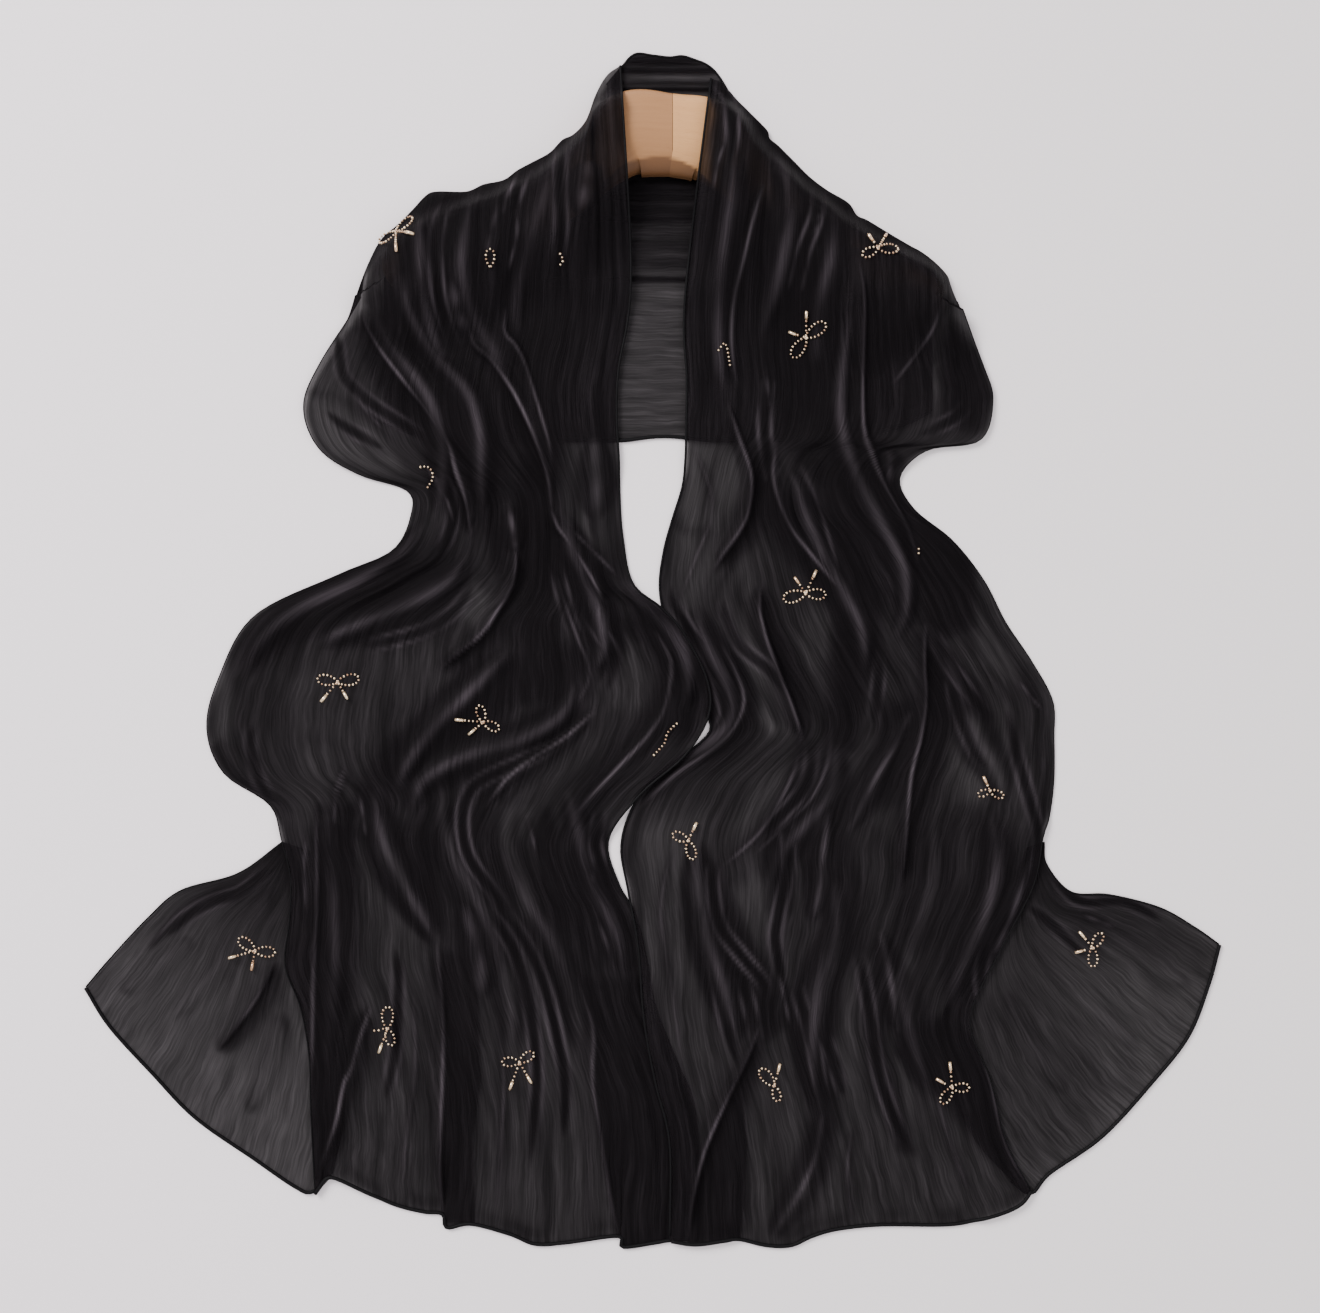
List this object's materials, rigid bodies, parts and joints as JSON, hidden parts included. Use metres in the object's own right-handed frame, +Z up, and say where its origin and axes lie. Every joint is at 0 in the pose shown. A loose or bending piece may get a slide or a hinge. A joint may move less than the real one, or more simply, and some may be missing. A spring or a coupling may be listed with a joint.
{
  "type": "sheer hijab shawl laid flat over a wooden hanger",
  "caption": "Sheer black crinkled hijab shawl with small beaded bows, laid flat over a pale wooden hanger, its fronts lapped and its corners fanned.",
  "frame": {"origin": "centre of the whole part on the surface that it lies on", "axes": "+X across the shawl to the picture's right, +Y along it towards the neck, +Z up from the surface"},
  "size_m": [0.794, 0.8354, 0.0286],
  "materials": {
    "sheer_cloth": "sheer black crinkled organza with a soft gloss",
    "wood": "pale satin lacquered wood",
    "seed_bead": "champagne and rose gold glass beads",
    "bugle_bead": "rose gold lined tubes",
    "hem_cloth": "narrow rolled hem, several plies thick"
  },
  "bodies": {
    "root": {"back_stretch": "sheer_cloth", "neck_stand": "sheer_cloth", "left_front": "sheer_cloth", "left_corner": "sheer_cloth", "right_front": "sheer_cloth", "right_corner": "sheer_cloth", "hanger_left_arm": "wood", "hanger_right_arm": "wood"}
  },
  "joints": []
}
